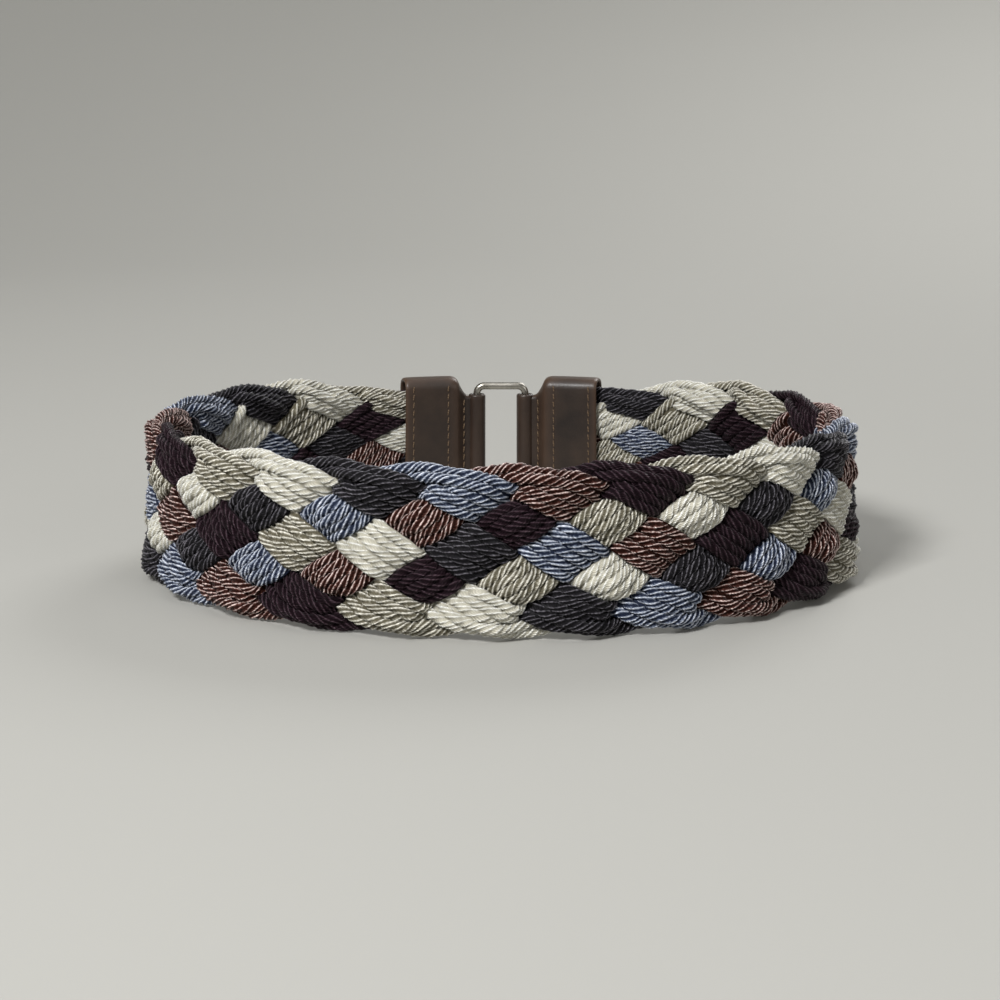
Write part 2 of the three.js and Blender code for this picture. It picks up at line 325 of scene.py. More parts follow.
def repeated(route, turnPlace):
    # one settled period repeated round the belt and cut at the two ends, where the first of the
    # lines that lie side by side comes to its end
    reach = girth / 2 - ends["cordEnd"]
    first = math.floor((-reach - turnPlace) / plait["period"]) - 1
    last = math.ceil((reach - turnPlace) / plait["period"]) + 1
    pieces = [route + [turnPlace + n * plait["period"], 0, 0] for n in range(first, last)]
    lines = np.concatenate(pieces)
    inside = np.abs(lines.reshape(len(lines), -1, 3)).max(axis=1)[:, 0] < reach
    start = np.argmax(inside)
    stop = len(inside) - np.argmax(inside[::-1])
    return lines[start:stop]


def placeOnBelt(along, up, out):
    # wraps to the oval, and draws height and depth in by their shares on the way to the tabs
    fromBack = girth / 2 - np.abs(along)
    share = np.clip((fromBack - ends["pressedTo"]) / (ends["pressedFrom"] - ends["pressedTo"]), 0, 1)
    eased = share * share * (3 - 2 * share)
    height = up * (ends["heightShare"] + (1 - ends["heightShare"]) * eased)
    depth = out * (ends["depthShare"] + (1 - ends["depthShare"]) * eased)
    place, outward = wrapToOval(along, height, depth)
    return place, outward, eased


def drift(lengths, seed, waves):
    # a slow even wander between -1 and 1: the mean of sine waves of unlike lengths
    turns = [np.sin(2 * np.pi * lengths / wave + seed * (n + 1.3)) for n, wave in enumerate(waves)]
    return sum(turns) / len(turns)


def cordTube(line, lengths, hand, seed):
    # a closed tube whose section is the ply outline five times round, turned once round in each
    # lay, swept along the line wrapped to the oval; it wanders a little in place and twist.
    # Returns its rings, its two end points, and for each point of a ring how far it stands
    # clear of the grooves, which sets the painted shade in the grooves and the painted highlight on
    # the ribs, and its place round the cord in turns.
    swayUp = stray["place"] * drift(lengths, seed, stray["upWaves"])
    swayOut = stray["place"] * drift(lengths, seed + 5.1, stray["outWaves"])
    centre, outward, eased = placeOnBelt(line[:, 0], line[:, 1] + swayUp, line[:, 2] + swayOut)
    ahead = np.gradient(centre, axis=0)
    ahead /= np.linalg.norm(ahead, axis=1, keepdims=True)
    out = outward - (outward * ahead).sum(axis=1, keepdims=True) * ahead
    out /= np.linalg.norm(out, axis=1, keepdims=True)
    side = np.cross(out, ahead)
    ply = np.repeat(np.arange(cords["plies"]), len(plyOutline))
    outline = np.tile(np.radians(plyOutline[:, 0]), cords["plies"]) + ply * 2 * np.pi / cords["plies"]
    ribs = np.tile(plyOutline[:, 2], cords["plies"])
    radius = mm * cords["diameter"] / 2 * np.tile(plyOutline[:, 1], cords["plies"])
    waves = 2 * np.pi * lengths[:, None] / stray["ribWave"] + 3 * outline[None, :] + seed
    uneven = 1 + stray["rib"] * np.sin(waves) * ribs
    radius = radius * uneven * (ends["radiusShare"] + (1 - ends["radiusShare"]) * eased)[:, None]
    twist = hand * 2 * np.pi * lengths / cords["lay"] + seed
    twist = twist + stray["twist"] * drift(lengths, seed + 2.7, stray["twistWaves"])
    plyWaves = 2 * np.pi * lengths[:, None] / stray["plyWave"] + stray["cordPhase"] * ply[None, :]
    angle = outline[None, :] + stray["ply"] * np.sin(plyWaves + 3 * seed) + twist[:, None]
    rings = centre[:, None, :] + radius[..., None] * (
        np.cos(angle)[..., None] * out[:, None, :] + np.sin(angle)[..., None] * side[:, None, :]
    )
    # painted shade and highlight: 0 in the grooves, 1 on the ribs, a little paler or darker from rib to
    # rib
    shadeAndHighlight = np.clip(ribs * (1 + stray["shadeAndHighlight"] * np.sin(waves * 1.7)), 0, 1)
    full = np.append(outline, outline[0] + 2 * np.pi)
    turns = full[None, :] / (2 * np.pi) + twist[:, None] / (2 * np.pi)
    return rings, centre[[0, -1]], shadeAndHighlight, turns


# The flat tape inside each strand, a sheet in painted shade that shuts the corners, in millimetres
cornerTape = {
    "past": 2.1,  # how far it runs on past the outer cords
    "thickness": 0.8,
}


def cornerShadeTape(turnPlace):
    # the flat tape through the middles of the cords, a sheet that shuts the corners between the
    # strands where only shade shows and takes the painted groove shade: its section follows the middles
    # of the cords and runs on past the outer ones, except at a turn
    step = np.arange(settled.shape[1]) * stepCount / settled.shape[1]
    past = cornerTape["past"] * (1 - turnShare(step))[:, None]
    low, high = settled[0] - settled[1], settled[-1] - settled[-2]
    low = settled[0] + past * low / np.linalg.norm(low, axis=1, keepdims=True)
    high = settled[-1] + past * high / np.linalg.norm(high, axis=1, keepdims=True)
    across = np.concatenate([low[:, None], settled.transpose(1, 0, 2), high[:, None]], axis=1)
    lines = repeated(across, turnPlace)
    face = [0, 0, cornerTape["thickness"] / 2]
    both = np.concatenate([lines + face, lines[:, ::-1] - face], axis=1)
    rings, _, _ = placeOnBelt(both[..., 0], both[..., 1], both[..., 2])
    return rings[:, ::-1]


def tubeArrays(rings, caps, start):
    # vertices and faces of a closed tube: rings one after another, then a point for each end
    rows, points, _ = rings.shape
    vertices = np.concatenate([rings.reshape(-1, 3), caps])
    here = np.arange(rows - 1)[:, None] * points + np.arange(points)[None, :]
    turn = np.arange(rows - 1)[:, None] * points + (np.arange(points)[None, :] + 1) % points
    quads = np.stack([here, here + points, turn + points, turn], axis=-1).reshape(-1, 4)
    k = np.arange(points)
    turned = (k + 1) % points
    low = np.stack([np.full(points, rows * points), k, turned], axis=1)
    top = (rows - 1) * points
    high = np.stack([np.full(points, rows * points + 1), top + turned, top + k], axis=1)
    return vertices, quads + start, np.concatenate([low, high]) + start


def buildMesh(name, vertices, quads, triangles):
    # fills a mesh from whole arrays of four-sided and three-sided faces
    mesh = bpy.data.meshes.new(name)
    loops = np.concatenate([quads.ravel(), triangles.ravel()]).astype(np.int32)
    starts = np.concatenate([4 * np.arange(len(quads)), 4 * len(quads) + 3 * np.arange(len(triangles))])
    mesh.vertices.add(len(vertices))
    mesh.vertices.foreach_set("co", vertices.astype(np.float32).ravel())
    mesh.loops.add(len(loops))
    mesh.loops.foreach_set("vertex_index", loops)
    mesh.polygons.add(len(starts))
    mesh.polygons.foreach_set("loop_start", starts.astype(np.int32))
    mesh.polygons.foreach_set("use_smooth", np.ones(len(starts), dtype=bool))
    mesh.update(calc_edges=True)
    mesh.validate()
    piece = bpy.data.objects.new(name, mesh)
    bpy.context.collection.objects.link(piece)
    return piece


def gridUv(values, lengths):
    # corner values for the quads of a tube: length along, and the given value around
    first = np.stack([values[:-1, :-1], values[1:, :-1], values[1:, 1:], values[:-1, 1:]], axis=-1)
    steps = np.broadcast_to(lengths[:, None], values.shape)
    second = np.stack([steps[:-1, :-1], steps[1:, :-1], steps[1:, 1:], steps[:-1, 1:]], axis=-1)
    return np.stack([second.reshape(-1), first.reshape(-1)], axis=1)


def buildStrand(name, order, hand):
    # the cords and the core tape of one strand as a single piece
    turnPlace = plait["firstTurn"] + order * plait["period"] / plait["strands"]
    allVertices, allQuads, allTriangles, allShadeAndHighlight, allThreads = [], [], [], [], []
    start = 0
    for cord in range(cords["perStrand"]):
        line, lengths = resample(repeated(settled[cord], turnPlace), cords["stepAlong"])
        seed = stray["cordPhase"] * cord + stray["strandPhase"] * order
        rings, caps, shadeAndHighlight, turns = cordTube(line, lengths, hand, seed)
        vertices, quads, triangles = tubeArrays(rings, caps, start)
        start += len(vertices)
        allVertices.append(vertices)
        allQuads.append(quads)
        allTriangles.append(triangles)
        allShadeAndHighlight.append(np.concatenate([shadeAndHighlight.ravel(), [0, 0]]))
        allThreads.append(gridUv(turns, mm * lengths))
    tape = cornerShadeTape(turnPlace)
    vertices, quads, triangles = tubeArrays(tape, tape[[0, -1]].mean(axis=1), start)
    allVertices.append(vertices)
    allQuads.append(quads)
    allTriangles.append(triangles)
    # the tape takes the painted groove shade all over
    allShadeAndHighlight.append(np.zeros(len(vertices)))
    allThreads.append(np.zeros((4 * len(quads), 2)))
    triangles = np.concatenate(allTriangles)
    piece = buildMesh(name, np.concatenate(allVertices), np.concatenate(allQuads), triangles)
    spare = np.zeros((3 * len(triangles), 2))
    layer = piece.data.uv_layers.new(name="threads")
    layer.data.foreach_set("uv", np.concatenate(allThreads + [spare]).astype(np.float32).ravel())
    shadeAndHighlightLayer = piece.data.attributes.new("shadeAndHighlight", "FLOAT", "POINT")
    shadeAndHighlightLayer.data.foreach_set("value", np.concatenate(allShadeAndHighlight).astype(np.float32))
    return piece


def linear(hexColour):
    # sRGB hex to linear red, green, blue and alpha
    parts = [int(hexColour[k : k + 2], 16) / 255 for k in (1, 3, 5)]
    return [c / 12.92 if c <= 0.04045 else ((c + 0.055) / 1.055) ** 2.4 for c in parts] + [1]


def addNode(tree, kind, settings=None, inputs=None, links=None):
    # one node with its settings, its socket values and its incoming links
    node = tree.nodes.new(kind)
    for key, value in (settings or {}).items():
        setattr(node, key, value)
    for key, value in (inputs or {}).items():
        node.inputs[key].default_value = value
    for key, socket in (links or {}).items():
        tree.links.new(socket, node.inputs[key])
    return node


def newMaterial(name):
    # a material with an empty node tree
    material = bpy.data.materials.new(name)
    material.use_nodes = True
    tree = material.node_tree
    tree.nodes.clear()
    return material, tree


waveScale = 2 * math.pi / 20  # the scale at which a wave texture draws one band to the unit

# Viscose satin cord, five plies laid together: a bright filament sheen on the ribs, partly real
# gloss and partly a painted highlight in the rib colour, and painted shade in the grooves between
# them. A thread is 0.12 mm and is drawn as 0.7 mm, the finest that shows here.
satin = {
    "specular": 0.22,
    "sheen": 0.03,
    "sheenRoughness": 0.4,
    "roughness": (0.6, 0.3),  # in the grooves and on the ribs
    # the groove's colour is painted shade and the rib's colour a painted highlight
    "colourPlaces": (0.2, 0.6, 1.0),  # height on a ply of the groove's, body's and rib's colour
    "blur": 0.95,  # how far stray filaments blur the edge of a rib
    "blurSize": 0.9,
    "dyeScale": 260,  # patches of about 4 mm
    "dyeShade": (0.55, 1.4),
    "threadSpacing": 0.7,
    "threadShade": (0.78, 1.14),
    "threadBump": 1.0,
    "threadHeight": 0.2,
}


def satinCord(kind):
    # colour from the painted shade in the groove through the body colour to the painted highlight on
    # the rib by the height on the ply, shaded by the uneven dye and by the threads, which lie straight
    # along the cord and stand up a little
    material, tree = newMaterial(kind["name"] + " satin cord")
    place = addNode(tree, "ShaderNodeTexCoord").outputs["Object"]
    shadeAndHighlight = addNode(tree, "ShaderNodeAttribute", {"attribute_name": "shadeAndHighlight"}).outputs["Fac"]
    fine = {"Scale": 1 / (mm * satin["blurSize"]), "Detail": 1}
    hairs = addNode(tree, "ShaderNodeTexNoise", None, fine, {"Vector": place})
    blur = addNode(
        tree,
        "ShaderNodeMapRange",
        None,
        {"To Min": -satin["blur"] / 2, "To Max": satin["blur"] / 2},
        {"Value": hairs.outputs["Fac"]},
    ).outputs["Result"]
    height = addNode(tree, "ShaderNodeMath", {"operation": "ADD"}, None, {0: shadeAndHighlight, 1: blur})
    # the ramp paints shade in the grooves and a highlight on the ribs
    ramp = addNode(tree, "ShaderNodeValToRGB", None, None, {"Fac": height.outputs["Value"]})
    stops = ramp.color_ramp.elements
    stops[0].position, middle, stops[1].position = satin["colourPlaces"]
    stops[0].color = linear(kind["grooveShade"])
    stops[1].color = linear(kind["rib"])
    stops.new(middle).color = linear(kind["body"])
    patches = {"Scale": satin["dyeScale"], "Detail": 2}
    dye = addNode(tree, "ShaderNodeTexNoise", None, patches, {"Vector": place}).outputs["Fac"]
    low, high = satin["dyeShade"]
    dye = addNode(tree, "ShaderNodeMapRange", None, {"To Min": low, "To Max": high}, {"Value": dye})
    threads = addNode(tree, "ShaderNodeUVMap", {"uv_map": "threads"})
    around = math.pi * cords["diameter"]
    bands = addNode(
        tree,
        "ShaderNodeTexWave",
        {"wave_type": "BANDS", "bands_direction": "Y"},
        {
            "Scale": waveScale * around / satin["threadSpacing"],
            "Distortion": 1.2,
            "Detail": 2,
            "Detail Scale": 3,
        },
        {"Vector": threads.outputs["UV"]},
    ).outputs["Fac"]
    low, high = satin["threadShade"]
    shade = addNode(tree, "ShaderNodeMapRange", None, {"To Min": low, "To Max": high}, {"Value": bands})
    both = addNode(
        tree,
        "ShaderNodeMath",
        {"operation": "MULTIPLY"},
        None,
        {0: dye.outputs["Result"], 1: shade.outputs["Result"]},
    )
    colour = addNode(
        tree,
        "ShaderNodeVectorMath",
        {"operation": "SCALE"},
        None,
        {0: ramp.outputs["Color"], "Scale": both.outputs["Value"]},
    )
    relief = {"Strength": satin["threadBump"], "Distance": mm * satin["threadHeight"]}
    bump = addNode(tree, "ShaderNodeBump", None, relief, {"Height": bands})
    low, high = satin["roughness"]
    gloss = addNode(tree, "ShaderNodeMapRange", None, {"To Min": low, "To Max": high}, {"Value": shadeAndHighlight})
    surface = addNode(
        tree,
        "ShaderNodeBsdfPrincipled",
        None,
        {
            "Specular IOR Level": satin["specular"],
            "Specular Tint": linear(kind["gloss"]),
            "Sheen Weight": satin["sheen"],
            "Sheen Roughness": satin["sheenRoughness"],
        },
        {
            "Base Color": colour.outputs["Vector"],
            "Roughness": gloss.outputs["Result"],
            "Normal": bump.outputs["Normal"],
        },
    )
    addNode(tree, "ShaderNodeOutputMaterial", None, None, {"Surface": surface.outputs["BSDF"]})
    return material


# In the order in which their upper turns follow each other round the waist: the painted shade in
# the groove, the colour of the body and the painted highlight on the rib of a ply, the tint of its
# gloss and the hand of the twist. The plum cords are twisted the other way.
strandKinds = [
    # groove colours are painted shade, rib colours painted highlights
    dict(name="khaki", grooveShade="#625d4e", body="#b4b0a3", rib="#fbf8ed", gloss="#f1e6c8", hand=1),
    dict(name="ivory", grooveShade="#bfbbac", body="#d6d4c9", rib="#fdfdf9", gloss="#fbf6e6", hand=1),
    dict(name="charcoal", grooveShade="#0a090b", body="#1f1d21", rib="#77747b", gloss="#cfcdd4", hand=1),
    dict(name="blue", grooveShade="#1a2134", body="#838c9f", rib="#e5e9f3", gloss="#c1c9df", hand=1),
    dict(name="rosewood", grooveShade="#1a0704", body="#5a3730", rib="#f0dbd5", gloss="#e3a897", hand=1),
    dict(name="plum", grooveShade="#0c0408", body="#1c0f15", rib="#483a41", gloss="#bda3ae", hand=-1),
]


def addStrands():
    # one piece for each strand, in place of its solid
    for order, kind in enumerate(strandKinds):
        piece = buildStrand("cords_" + kind["name"], order, kind["hand"])
        piece.data.materials.append(satinCord(kind))
        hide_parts("strand_" + kind["name"])
        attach(piece, "root")


addStrands()
print("strands built")


# The leather tabs, in millimetres, with distances from the middle of the back
tab = {
    "uprightAt": 10.0,  # where the wire stands in the fold
    "foldInner": 1.85,
    "foldOuter": 3.55,
    "foldHalfHeight": 18.0,
    "foldRounding": 0.45,  # radius of its edges as a share of the leather's thickness
    "foldSides": 28,
    "cornerShare": 0.7,  # corner radius as a share of the half thickness
    "crown": 0.45,  # how far the faces swell over the plait's end
    "rimWidth": 0.07,  # share of the half height that is rubbed at the upper and lower rim
    "rimRubbed": 0.5,
    "foldRubbed": 0.25,
    "stitchRows": [(15.6, 15.8), (22.6, 21.6), (37.6, 21.6)],  # distance, and reach up and down
    "stitchPitch": 3.3,
    "stitchLength": 2.5,
    "stitchThickness": 0.55,
    "stitchLift": 0.12,
    "stitchSlant": 0.12,
}

# Outline of a tab from the fold to the mouth, round its rim and down the pocket: distance, half
# height, half thickness, share of the crown, and how rubbed the leather is there. The first 11
# rows are its outside.
outsideRows = 11
tabRows = np.array([
    [12.2, 17.3, 1.9, 0, 0.1],
    [13.6, 17.5, 2.2, 0, 0.1],
    [15.2, 18.4, 2.6, 0, 0.15],
    [16.9, 21.2, 4.0, 0.1, 0.3],
    [18.4, 24.2, 5.3, 0.3, 0.55],
    [20.4, 25.3, 5.9, 0.6, 0.35],
    [23.5, 25.44, 6.01, 0.9, 0.1],
    [29.0, 25.44, 6.01, 1, 0],
    [35.0, 25.44, 6.01, 0.8, 0.05],
    [38.6, 25.4, 5.9, 0.3, 0.2],
    [40.3, 25.2, 5.8, 0.1, 0.6],
    [40.95, 24.6, 5.2, 0, 0.9],
    [40.4, 23.9, 4.5, 0, 0.5],
    [38.5, 23.74, 4.31, 0, 0.1],
    [30.0, 23.74, 4.31, 0, 0],
    [19.95, 23.74, 4.31, 0, 0],
])


def smoothRows(rows, perRow):
    # a cubic through the rows of a table, whose slope at a row is half the step between the
    # rows on either side of it
    padded = np.concatenate([rows[:1], rows, rows[-1:]])
    t = (np.arange(perRow) / perRow)[None, :, None]
    p0, p1, p2, p3 = (padded[k : len(padded) - 3 + k, None, :] for k in range(4))
    bend = 2 * p0 - 5 * p1 + 4 * p2 - p3
    curve = 0.5 * (2 * p1 + (p2 - p0) * t + bend * t**2 + (3 * p1 - p0 - 3 * p2 + p3) * t**3)
    return np.concatenate([curve.reshape(-1, rows.shape[1]), rows[-1:]])


def closedTube(rings):
    # faces of a tube of rings with a point at the middle of each end
    caps = np.stack([rings[0].mean(axis=0), rings[-1].mean(axis=0)])
    return tubeArrays(rings, caps, 0)


def tabBody(side):
    # each row is a rounded rectangle: its corners are quarter circles of radius r about places
    # r inside the corners, and its two faces swell by the crown times 1 - (up / half height)^2
    rows = smoothRows(tabRows, 4)
    distance, halfHeight, halfThickness, crown, rubbed = rows.T[:, :, None]
    radius = tab["cornerShare"] * halfThickness
    turn = np.linspace(0, np.pi / 2, 7)[None, :]
    flat = np.linspace(1, -1, 13)[None, 1:-1]
    reach = halfHeight - radius
    corners = [(1, 1), (-1, 1), (-1, -1), (1, -1)]
    ups, outs = [], []
    for k, (upSign, outSign) in enumerate(corners):
        first = turn if k % 2 == 0 else turn[:, ::-1]
        ups.append(upSign * (reach + radius * np.cos(first)))
        outs.append(outSign * (halfThickness - radius + radius * np.sin(first)))
        if k % 2 == 0:
            ups.append(upSign * reach * flat)
            outs.append(outSign * halfThickness * np.ones_like(flat))
    up = np.concatenate(ups, axis=1)
    out = np.concatenate(outs, axis=1)
    out = out + np.sign(out) * tab["crown"] * crown * np.clip(1 - (up / halfHeight) ** 2, 0, 1)
    along = girth / 2 - distance + 0 * up
    rings, _ = wrapToOval(side * along, up, out)
    if side > 0:
        rings = rings[:, ::-1]
    width = tab["rimWidth"]
    nearRim = np.clip(np.abs(up) / halfHeight - (1 - width), 0, width) / width
    rim = np.clip(rubbed + tab["rimRubbed"] * nearRim, 0, 1)
    if side > 0:
        rim = rim[:, ::-1]
    return rings, rim


def tabFold(side):
    # the fold round the wire's upright: a thick ring, rounded at its edges, drawn out upwards
    height = tab["foldHalfHeight"]
    edge = tab["foldRounding"] * (tab["foldOuter"] - tab["foldInner"])
    turn = np.linspace(0, np.pi / 2, 4)
    straight = np.linspace(height - 3, 3 - height, 9)
    rise, reach = edge * np.sin(turn), edge * np.cos(turn)
    outerUp = np.concatenate([height - edge + rise[::-1], straight, edge - height - rise])
    outerRadius = np.concatenate([reach[::-1], np.full(len(straight), edge), reach])
    outerRadius += tab["foldOuter"] - edge
    innerUp = np.linspace(-height, height, 5)
    up = np.concatenate([outerUp, innerUp])[:, None]
    radius = np.concatenate([outerRadius, np.full(len(innerUp), tab["foldInner"])])[:, None]
    angle = (np.arange(tab["foldSides"]) * 2 * np.pi / tab["foldSides"])[None, :]
    along = girth / 2 - tab["uprightAt"] + radius * np.cos(angle)
    rings, _ = wrapToOval(side * along, up + 0 * angle, radius * np.sin(angle))
    return rings[:, ::-1] if side > 0 else rings


def loopedGrid(rings):
    # faces of a grid that closes both ways
    rows, points, _ = rings.shape
    here = np.arange(rows)[:, None] * points + np.arange(points)[None, :]
    below = (np.arange(rows)[:, None] + 1) % rows * points + np.arange(points)[None, :]
    quads = np.stack([here, below, np.roll(below, -1, axis=1), np.roll(here, -1, axis=1)], axis=-1)
    return rings.reshape(-1, 3), quads.reshape(-1, 4)


def tabStitches(side):
    # saddle stitches: short round-ended rods of thread laid on both faces, in a row inside the
    # mouth, one behind the shoulder and one that shuts the fold
    order = np.argsort(tabRows[:outsideRows, 0])
    places, ups, outs = [], [], []
    for distance, reach in tab["stitchRows"]:
        count = int(2 * reach / tab["stitchPitch"])
        up = (np.arange(count + 1) - count / 2) * tab["stitchPitch"]
        halfHeight, halfThickness, crown = (
            np.interp(distance, tabRows[order, 0], tabRows[order, k]) for k in (1, 2, 3)
        )
        swell = tab["crown"] * crown * (1 - (up / halfHeight) ** 2)
        for face in (1, -1):
            places.append(np.full(len(up), distance))
            ups.append(up)
            outs.append(face * (halfThickness + swell + tab["stitchLift"]))
    place, up, out = (np.concatenate(values)[:, None, None] for values in (places, ups, outs))
    # a rod's half length and half thickness times these shares, from one end to the other
    half = tab["stitchLength"] / 2
    length = np.array([-1, -0.9, -0.5, 0, 0.5, 0.9, 1])[None, :, None] * half
    width = np.array([0.2, 0.75, 1, 1, 1, 0.75, 0.2])[None, :, None] * tab["stitchThickness"] / 2
    angle = (np.arange(6) * 2 * np.pi / 6)[None, None, :]
    along = girth / 2 - place + tab["stitchSlant"] * length + width * np.cos(angle)
    rings, _ = wrapToOval(side * along, up + length + 0 * angle, out + width * np.sin(angle))
    if side < 0:
        rings = rings[:, :, ::-1]
    return rings


def manyTubes(stacks):
    # the same closed tube for each stack of rings
    parts = []
    start = 0
    for rings in stacks:
        vertices, quads, triangles = tubeArrays(rings, rings[[0, -1]].mean(axis=1), start)
        start += len(vertices)
        parts.append((vertices, quads, triangles))
    return [np.concatenate(values) for values in zip(*parts)]


# Full-grain calf, dyed through and finished with wax: a fine pebble grain that takes a soft
# light, paler and smoother where it is rubbed. Its pebbles are about 0.4 mm across and are
# drawn as 0.9 mm, the finest that shows here.
leather = {
    "pebble": 0.9,
    "pebbleBump": 0.35,
    "pebbleHeight": 0.12,
    "roughness": (0.38, 0.56),
    "wax": 0.12,
    "waxRoughness": 0.25,
    "dark": "#1c1512",
    "light": "#35281f",
    "rubbed": "#5d4534",
    "rubbedShare": 0.55,
    "cloudScale": 70,  # clouds of dye of about 14 mm
    "cloudPlaces": (0.3, 0.72),  # of the dark and the light dye in a cloud
}


def waxedCalf():
    # clouds of dark and light dye, mixed with the rubbed colour by the rubbed share
    material, tree = newMaterial("waxed calf leather")
    place = addNode(tree, "ShaderNodeTexCoord").outputs["Object"]
    rubbed = addNode(tree, "ShaderNodeAttribute", {"attribute_name": "rubbed"})
    pebbles = addNode(
        tree,
        "ShaderNodeTexVoronoi",
        {"feature": "SMOOTH_F1"},
        {"Scale": 1 / (mm * leather["pebble"]), "Smoothness": 0.4, "Randomness": 1.0},
        {"Vector": place},
    )
    clouds = {"Scale": leather["cloudScale"], "Detail": 4}
    cloud = addNode(tree, "ShaderNodeTexNoise", None, clouds, {"Vector": place}).outputs["Fac"]
    dye = addNode(tree, "ShaderNodeValToRGB", None, None, {"Fac": cloud})
    dark, light = dye.color_ramp.elements
    dark.color, light.color = linear(leather["dark"]), linear(leather["light"])
    dark.position, light.position = leather["cloudPlaces"]
    part = {1: leather["rubbedShare"]}
    share = addNode(tree, "ShaderNodeMath", {"operation": "MULTIPLY"}, part, {0: rubbed.outputs["Fac"]})
    colour = addNode(
        tree,
        "ShaderNodeMix",
        {"data_type": "RGBA"},
        {"B": linear(leather["rubbed"])},
        {"Factor": share.outputs["Value"], "A": dye.outputs["Color"]},
    )
    low, high = leather["roughness"]
    gloss = addNode(tree, "ShaderNodeMapRange", None, {"To Min": low, "To Max": high}, {"Value": cloud})
    relief = {"Strength": leather["pebbleBump"], "Distance": mm * leather["pebbleHeight"]}
    bump = addNode(tree, "ShaderNodeBump", None, relief, {"Height": pebbles.outputs["Distance"]})
    surface = addNode(
        tree,
        "ShaderNodeBsdfPrincipled",
        None,
        {
            "Coat Weight": leather["wax"],
            "Coat Roughness": leather["waxRoughness"],
            "Specular IOR Level": 0.45,
        },
        {
            "Base Color": colour.outputs["Result"],
            "Roughness": gloss.outputs["Result"],
            "Normal": bump.outputs["Normal"],
        },
    )
    addNode(tree, "ShaderNodeOutputMaterial", None, None, {"Surface": surface.outputs["BSDF"]})
    return material


# Waxed linen thread, three yarns laid together: matt, with slanting bands 0.5 mm apart
thread = {
    "lay": 0.5,
    "dark": "#4a3b2c",
    "light": "#7d6750",
    "roughness": 0.62,
    "bump": 0.4,
    "height": 0.08,
}


def linenThread():
    # colour and relief both follow the slanting bands of the yarns
    material, tree = newMaterial("waxed linen thread")
    place = addNode(tree, "ShaderNodeTexCoord")
    bands = addNode(
        tree,
        "ShaderNodeTexWave",
        {"wave_type": "BANDS", "bands_direction": "DIAGONAL"},
        {"Scale": waveScale / (mm * thread["lay"]), "Distortion": 0.6},
        {"Vector": place.outputs["Object"]},
    ).outputs["Fac"]
    shade = addNode(tree, "ShaderNodeValToRGB", None, None, {"Fac": bands})
    dark, light = shade.color_ramp.elements
    dark.color, light.color = linear(thread["dark"]), linear(thread["light"])
    relief = {"Strength": thread["bump"], "Distance": mm * thread["height"]}
    bump = addNode(tree, "ShaderNodeBump", None, relief, {"Height": bands})
    surface = addNode(
        tree,
        "ShaderNodeBsdfPrincipled",
        None,
        {"Roughness": thread["roughness"], "Specular IOR Level": 0.3},
        {"Base Color": shade.outputs["Color"], "Normal": bump.outputs["Normal"]},
    )
    addNode(tree, "ShaderNodeOutputMaterial", None, None, {"Surface": surface.outputs["BSDF"]})
    return material


def addTabs():
    # for each side the tab, in place of its solid, and its stitches
    calf = waxedCalf()
    linen = linenThread()
    for side, word in ((1, "left"), (-1, "right")):
        rings, rim = tabBody(side)
        vertices, quads, triangles = closedTube(rings)
        foldVertices, foldQuads = loopedGrid(tabFold(side))
        start = len(vertices)
        piece = buildMesh(
            "tab_" + word,
            np.concatenate([vertices, foldVertices]),
            np.concatenate([quads, foldQuads + start]),
            triangles,
        )
        rubbed = piece.data.attributes.new("rubbed", "FLOAT", "POINT")
        values = np.concatenate([rim.ravel(), [0, 0], np.full(len(foldVertices), tab["foldRubbed"])])
        rubbed.data.foreach_set("value", values.astype(np.float32))
        piece.data.materials.append(calf)
        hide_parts("end_tab_" + word)
        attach(piece, "root")
        stitches = buildMesh("stitches_" + word, *manyTubes(tabStitches(side)))
        stitches.data.materials.append(linen)
        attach(stitches, "root")


addTabs()
print("tabs built")

# The wire loop, in millimetres
wire = {"radius": 1.5, "halfWidth": 10.0, "halfHeight": 21.35, "corner": 3.0, "sides": 16}


# Nickel-plated steel wire, drawn and lightly tumbled: bright, with faint cloudy dulling
steel = {
    "dull": "#a39e94",
    "bright": "#c9c5bc",
    "places": (0.35, 0.7),  # of the dull and the bright colour in a cloud
    "roughness": (0.2, 0.36),
    "scale": 260,  # clouds of about 4 mm
    "bump": 0.1,
    "height": 0.05,
}


def drawnSteel():
    # colour, roughness and relief all follow the clouds
    material, tree = newMaterial("nickel-plated steel wire")
    place = addNode(tree, "ShaderNodeTexCoord")
    clouds = {"Scale": steel["scale"], "Detail": 5}
    cloud = addNode(tree, "ShaderNodeTexNoise", None, clouds, {"Vector": place.outputs["Object"]})
    cloud = cloud.outputs["Fac"]
    tint = addNode(tree, "ShaderNodeValToRGB", None, None, {"Fac": cloud})
    dull, bright = tint.color_ramp.elements
    dull.color, bright.color = linear(steel["dull"]), linear(steel["bright"])
    dull.position, bright.position = steel["places"]
    low, high = steel["roughness"]
    gloss = addNode(tree, "ShaderNodeMapRange", None, {"To Min": low, "To Max": high}, {"Value": cloud})
    relief = {"Strength": steel["bump"], "Distance": mm * steel["height"]}
    bump = addNode(tree, "ShaderNodeBump", None, relief, {"Height": cloud})
    surface = addNode(
        tree,
        "ShaderNodeBsdfPrincipled",
        None,
        {"Metallic": 1.0},
        {
            "Base Color": tint.outputs["Color"],
            "Roughness": gloss.outputs["Result"],
            "Normal": bump.outputs["Normal"],
        },
    )
    addNode(tree, "ShaderNodeOutputMaterial", None, None, {"Surface": surface.outputs["BSDF"]})
    return material


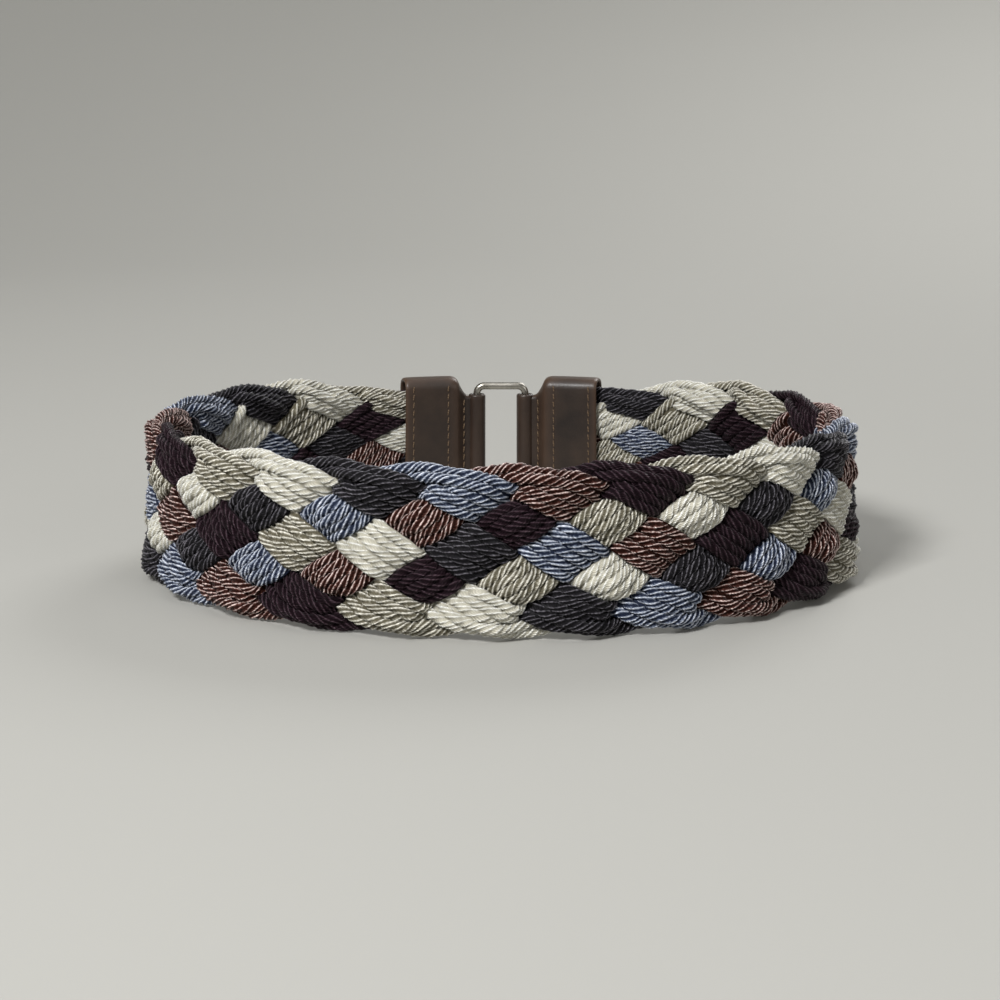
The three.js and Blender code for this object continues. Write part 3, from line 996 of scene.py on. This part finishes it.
def addLoop():
    # round wire carried round a rectangle whose corners are quarter circles, and wrapped to the
    # oval with the rest of the belt
    corner = np.linspace(0, np.pi / 2, 9)
    reachAlong = wire["halfWidth"] - wire["corner"]
    reachUp = wire["halfHeight"] - wire["corner"]
    centres = np.array([(1, 1), (-1, 1), (-1, -1), (1, -1)])
    angles = (np.arange(4)[:, None] * np.pi / 2 + corner[None, :]).ravel()
    along = np.repeat(centres[:, 0] * reachAlong, len(corner))
    up = np.repeat(centres[:, 1] * reachUp, len(corner))
    turn = (-np.arange(wire["sides"]) * 2 * np.pi / wire["sides"])[None, :]
    reach = wire["corner"] + wire["radius"] * np.cos(turn)
    rings, _ = wrapToOval(
        girth / 2 + along[:, None] + reach * np.cos(angles)[:, None],
        up[:, None] + reach * np.sin(angles)[:, None],
        wire["radius"] * np.sin(turn) + 0 * angles[:, None],
    )
    vertices, quads = loopedGrid(rings)
    piece = buildMesh("wire_loop", vertices, quads, np.empty((0, 3), dtype=int))
    piece.data.materials.append(drawnSteel())
    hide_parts("back_loop")
    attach(piece, "root")


addLoop()
print("wire loop built")


# The studio, in metres and watts
studio = {
    "floorReach": 1.0,  # where the floor starts to rise, from the middle
    "bend": 1.5,
    "height": 2.6,
    "sides": 96,
    "card": "#aaa9a4",
    "lampsAimAt": (0, 0, 0.03),
    "lamps": [
        {"name": "key", "at": (-0.75, -1.25, 1.3), "size": 0.45, "power": 41},
        {"name": "fill", "at": (1.3, -1.0, 0.6), "size": 1.2, "power": 5},
        {"name": "back", "at": (0.7, 1.35, 1.1), "size": 0.8, "power": 14},
        {"name": "top", "at": (0.0, 0.0, 1.8), "size": 1.4, "power": 5},
    ],
    "skyColour": "#e4e4e2",
    "skyStrength": 0.2,
}


def addStudio():
    # a pale floor that rises all the way round into a plain wall: a profile of straight lines
    # and a quarter circle, turned about the upright axis; soft lamps stand inside it
    floor, bend = studio["floorReach"], studio["bend"]
    turn = np.linspace(0, np.pi / 2, 17)
    reach = np.concatenate([[mm], floor + bend * np.sin(turn), [floor + bend]])[:, None]
    height = np.concatenate([[0], bend * (1 - np.cos(turn)), [studio["height"]]])[:, None]
    angle = (np.arange(studio["sides"]) * 2 * np.pi / studio["sides"])[None, :]
    rings = np.stack([reach * np.cos(angle), reach * np.sin(angle), height + 0 * angle], axis=-1)
    rows, points, _ = rings.shape
    here = np.arange(rows - 1)[:, None] * points + np.arange(points)[None, :]
    turned = np.roll(here, -1, axis=1)
    quads = np.stack([here, here + points, turned + points, turned], axis=-1)
    fan = np.stack([np.full(points, rows * points), here[0], turned[0]], axis=1)
    vertices = np.concatenate([rings.reshape(-1, 3), [[0, 0, 0]]])
    backdrop = buildMesh("backdrop", vertices, quads.reshape(-1, 4), fan)
    material, tree = newMaterial("pale matt card")
    card = {"Base Color": linear(studio["card"]), "Roughness": 0.9}
    surface = addNode(tree, "ShaderNodeBsdfPrincipled", None, card)
    addNode(tree, "ShaderNodeOutputMaterial", None, None, {"Surface": surface.outputs["BSDF"]})
    backdrop.data.materials.append(material)
    for lamp in studio["lamps"]:
        light = bpy.data.lights.new(lamp["name"], "AREA")
        light.energy = lamp["power"]
        light.size = lamp["size"]
        holder = bpy.data.objects.new(lamp["name"], light)
        bpy.context.collection.objects.link(holder)
        holder.location = lamp["at"]
        aim = Vector(studio["lampsAimAt"]) - Vector(lamp["at"])
        holder.rotation_euler = aim.to_track_quat("-Z", "Y").to_euler()
    world = bpy.data.worlds.new("studio")
    bpy.context.scene.world = world
    world.use_nodes = True
    background = world.node_tree.nodes["Background"]
    background.inputs["Color"].default_value = linear(studio["skyColour"])
    background.inputs["Strength"].default_value = studio["skyStrength"]


addStudio()
bpy.context.scene.view_settings.view_transform = "Standard"
print("studio lit")
